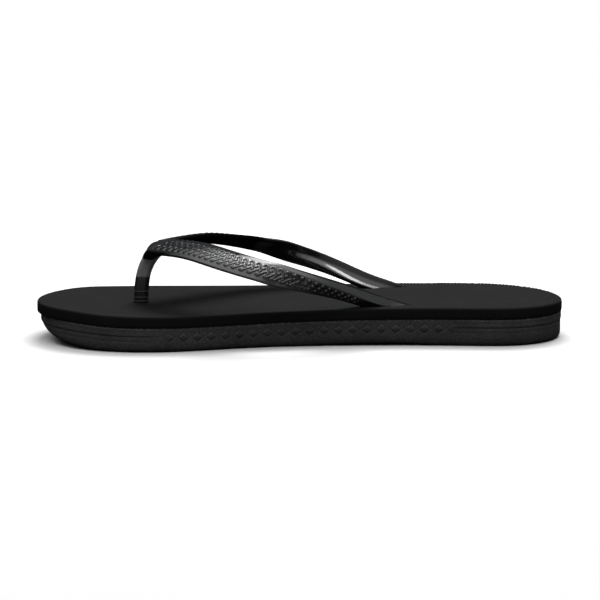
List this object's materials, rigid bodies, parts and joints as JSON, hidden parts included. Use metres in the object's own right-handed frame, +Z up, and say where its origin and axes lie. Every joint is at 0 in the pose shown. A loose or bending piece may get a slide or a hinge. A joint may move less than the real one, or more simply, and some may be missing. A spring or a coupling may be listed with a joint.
{
  "type": "flip flop",
  "caption": "Thin two-layer flip flop for a right foot, with a flat toe post and a slim V-shaped rubber strap.",
  "frame": {"origin": "on the ground under the middle of the sole, the bottom centre of the bounding box", "axes": "+X from toe to heel, +Y towards the outer side of the right foot, +Z up"},
  "size_m": [0.255, 0.0941, 0.0479],
  "materials": {
    "footbed": "matte fine-grained foam rubber",
    "outsole": "matte textured rubber",
    "strap": "satin moulded rubber with a soft graphite sheen",
    "toe_post": "smooth matte rubber",
    "plug": "matte rubber"
  },
  "bodies": {
    "rear": {"footbed_rear": "footbed", "outsole_rear": "outsole", "strap": "strap", "inner_plug": "plug", "outer_plug": "plug"},
    "front": {"footbed_front": "footbed", "outsole_front": "outsole", "toe_post": "toe_post", "toe_plug": "plug"}
  },
  "joints": [
    {"name": "ball_flex", "type": "hinge", "parent": "rear", "child": "front", "pos_m": [-0.034, 0, 0.0171], "axis": [0, 1, 0], "range_deg": [0, 45], "stiffness_Nm_per_rad": 0.4, "deforming": ["strap"]}
  ]
}
